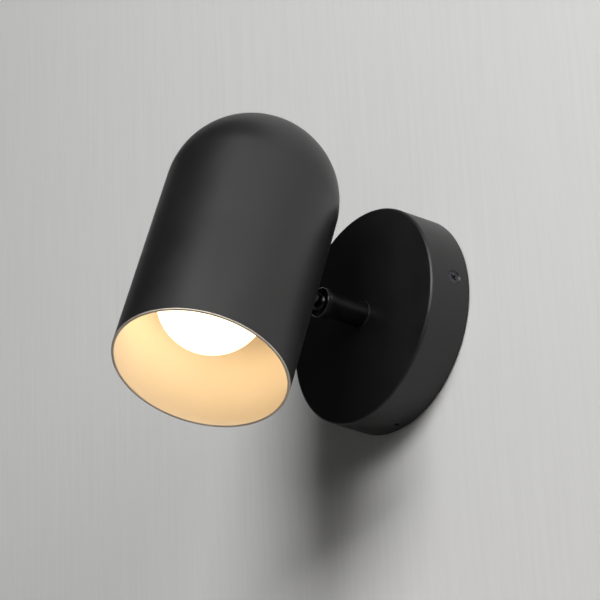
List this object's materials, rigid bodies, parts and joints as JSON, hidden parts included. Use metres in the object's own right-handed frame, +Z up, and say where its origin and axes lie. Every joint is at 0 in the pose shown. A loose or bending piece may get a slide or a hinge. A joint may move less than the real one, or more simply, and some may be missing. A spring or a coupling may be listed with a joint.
{
  "type": "outdoor wall spotlight",
  "caption": "Matte black outdoor wall spotlight: a capsule shade with an opal lamp on a short swivel stem from a round wall canopy; the stem pans and the shade tilts.",
  "frame": {"origin": "middle of the canopy's back, on the wall plane and on the stem's axis", "axes": "+Z up, +Y into the wall along the stem's axis, the room and the shade towards -Y, +X to the right seen from the room"},
  "size_m": [0.12, 0.1775, 0.1724],
  "materials": {
    "black_powder_coat": "matte black powder coat, cream inside the shade, whose lip is bare",
    "black_oxide_steel": "black oxide, satin",
    "zinc_plated_steel": "bright zinc plating",
    "green_screw": "green dyed zinc",
    "foam_rubber": "closed-cell foam",
    "seal_rubber": "matte moulded rubber",
    "black_acetal": "satin moulded plastic",
    "natural_nylon": "natural moulded plastic",
    "porcelain": "white glaze",
    "nickel_shell": "nickel plating",
    "brass_contact": "bare brass",
    "black_glass": "black vitreous insulator",
    "lamp_white": "white moulded plastic",
    "opal_globe": "opal diffuser, lit",
    "board_white": "white solder mask"
  },
  "bodies": {
    "wall_base": {"canopy": "black_powder_coat", "side_screws": "black_oxide_steel", "mounting_bracket": "zinc_plated_steel", "ground_screw": "green_screw", "wall_gasket": "foam_rubber", "swivel_bushing": "black_acetal", "stop_pin": "zinc_plated_steel"},
    "swivel_arm": {"stem": "black_powder_coat", "pivot_pins": "black_oxide_steel", "friction_seat": "natural_nylon", "spring_washer": "zinc_plated_steel", "stop_washer": "zinc_plated_steel", "stem_nut": "zinc_plated_steel"},
    "lamp_head": {"swivel_ball": "black_oxide_steel", "saddle_gasket": "seal_rubber", "shade": "black_powder_coat", "inner_saddle": "zinc_plated_steel", "socket_bracket": "zinc_plated_steel", "stud_washer": "zinc_plated_steel", "stud_nut": "zinc_plated_steel", "socket_body": "porcelain", "socket_shell": "nickel_shell", "socket_contact": "brass_contact", "socket_nipple": "zinc_plated_steel", "socket_washer": "zinc_plated_steel", "socket_nut": "zinc_plated_steel", "bulb_globe": "opal_globe", "led_board": "board_white", "bulb_body": "lamp_white", "bulb_cap": "nickel_shell", "bulb_insulator": "black_glass", "bulb_contact": "brass_contact"}
  },
  "joints": [
    {"name": "pan", "type": "hinge", "parent": "wall_base", "child": "swivel_arm", "pos_m": [0, 0, 0], "axis": [0, -1, 0], "range_deg": [-160, 160]},
    {"name": "tilt", "type": "hinge", "parent": "swivel_arm", "child": "lamp_head", "pos_m": [0, -0.052, 0], "axis": [-1, 0, 0], "range_deg": [-48, 16]}
  ]
}
